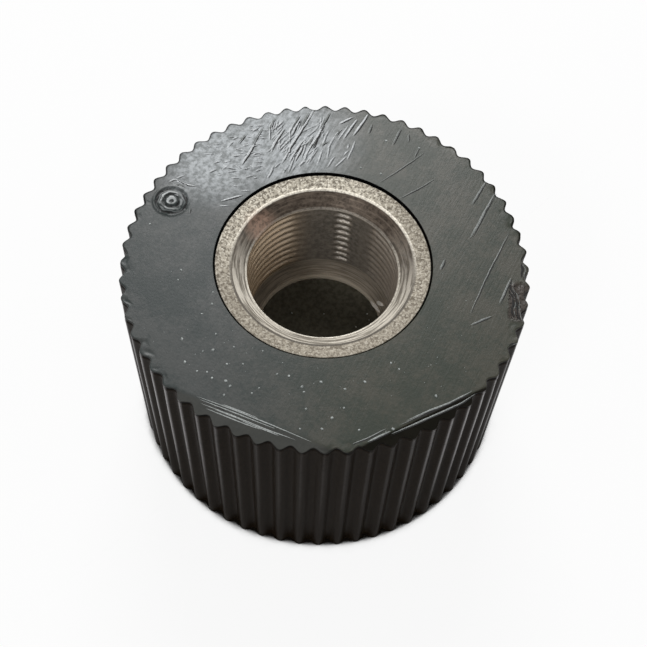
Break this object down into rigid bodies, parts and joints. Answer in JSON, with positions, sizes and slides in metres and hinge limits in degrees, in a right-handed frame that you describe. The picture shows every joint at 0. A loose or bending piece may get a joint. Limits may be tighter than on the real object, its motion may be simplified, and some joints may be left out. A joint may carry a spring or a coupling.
{
  "type": "film spool cog",
  "caption": "Short wheel with fine straight flutes round its side and a blind threaded metal bush in its top face.",
  "frame": {"origin": "middle of the flat underside, on the axis of the fluted wheel", "axes": "+Z along the wheel's axis, towards the face with the bush; +X to the right and +Y away from the viewer of the picture"},
  "size_m": [0.03, 0.03, 0.0184],
  "materials": {
    "black_moulding": "worn and scratched",
    "bush_metal": "tarnished, with bright edges"
  },
  "bodies": {
    "root": {"moulded_cog": "black_moulding", "threaded_bush": "bush_metal"}
  },
  "joints": []
}
